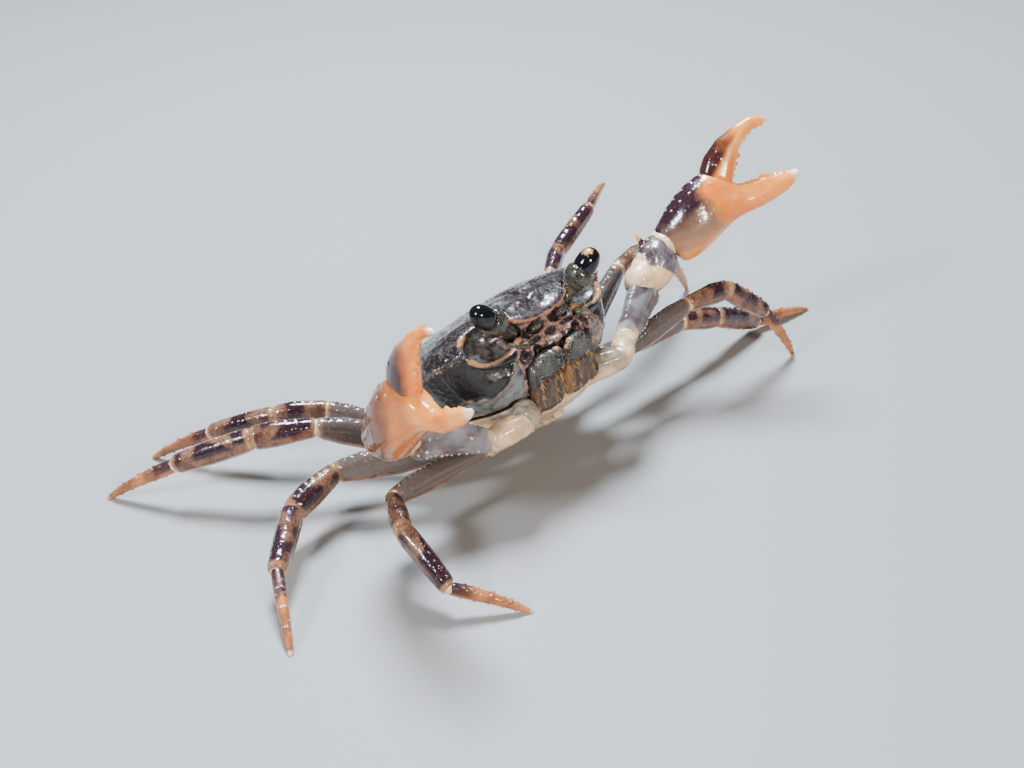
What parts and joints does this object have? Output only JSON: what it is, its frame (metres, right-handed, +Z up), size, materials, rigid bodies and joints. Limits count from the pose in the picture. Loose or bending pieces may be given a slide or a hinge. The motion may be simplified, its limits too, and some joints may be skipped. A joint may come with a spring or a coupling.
{
  "type": "freshwater crab model",
  "caption": "Life-size still model of a freshwater crab that stands on its walking legs with both claws raised and open.",
  "frame": {"origin": "floor level, below the middle of the whole crab's box", "axes": "+Z up, +X to the crab's left, the crab looks along -Y"},
  "size_m": [0.091, 0.0538, 0.0315],
  "materials": {
    "shell": "wet granular shell, dark brown with pale flecks",
    "belly": "smooth cream shell",
    "mouth": "granular charcoal shell",
    "eye": "glossy black",
    "stalk": "olive shell",
    "leg": "wet mottled brown and purple shell",
    "leg_tip": "orange shell with small thorns",
    "claw": "wet orange to dark purple shell",
    "arm": "grey and cream beaded shell"
  },
  "bodies": {
    "root": {"abdomen": "belly", "antenna_left": "stalk", "antenna_right": "stalk", "antennule_left": "stalk", "antennule_right": "stalk", "carapace": "shell", "claw_left_carpus": "arm", "claw_left_finger": "claw", "claw_left_ischium": "belly", "claw_left_merus": "arm", "claw_left_palm": "claw", "claw_right_carpus": "arm", "claw_right_finger": "claw", "claw_right_ischium": "belly", "claw_right_merus": "arm", "claw_right_palm": "claw", "eye_left": "eye", "eye_right": "eye", "eyestalk_left": "stalk", "eyestalk_right": "stalk", "leg2_left_carpus": "leg", "leg2_left_dactylus": "leg_tip", "leg2_left_merus": "leg", "leg2_left_propodus": "leg", "leg2_right_carpus": "leg", "leg2_right_dactylus": "leg_tip", "leg2_right_merus": "leg", "leg2_right_propodus": "leg", "leg3_left_carpus": "leg", "leg3_left_dactylus": "leg_tip", "leg3_left_merus": "leg", "leg3_left_propodus": "leg", "leg3_right_carpus": "leg", "leg3_right_dactylus": "leg_tip", "leg3_right_merus": "leg", "leg3_right_propodus": "leg", "leg4_left_carpus": "leg", "leg4_left_dactylus": "leg_tip", "leg4_left_merus": "leg", "leg4_left_propodus": "leg", "leg4_right_carpus": "leg", "leg4_right_dactylus": "leg_tip", "leg4_right_merus": "leg", "leg4_right_propodus": "leg", "leg5_left_carpus": "leg", "leg5_left_dactylus": "leg_tip", "leg5_left_merus": "leg", "leg5_left_propodus": "leg", "leg5_right_carpus": "leg", "leg5_right_dactylus": "leg_tip", "leg5_right_merus": "leg", "leg5_right_propodus": "leg", "maxilliped_left": "mouth", "maxilliped_right": "mouth", "thorax": "belly"}
  },
  "joints": []
}
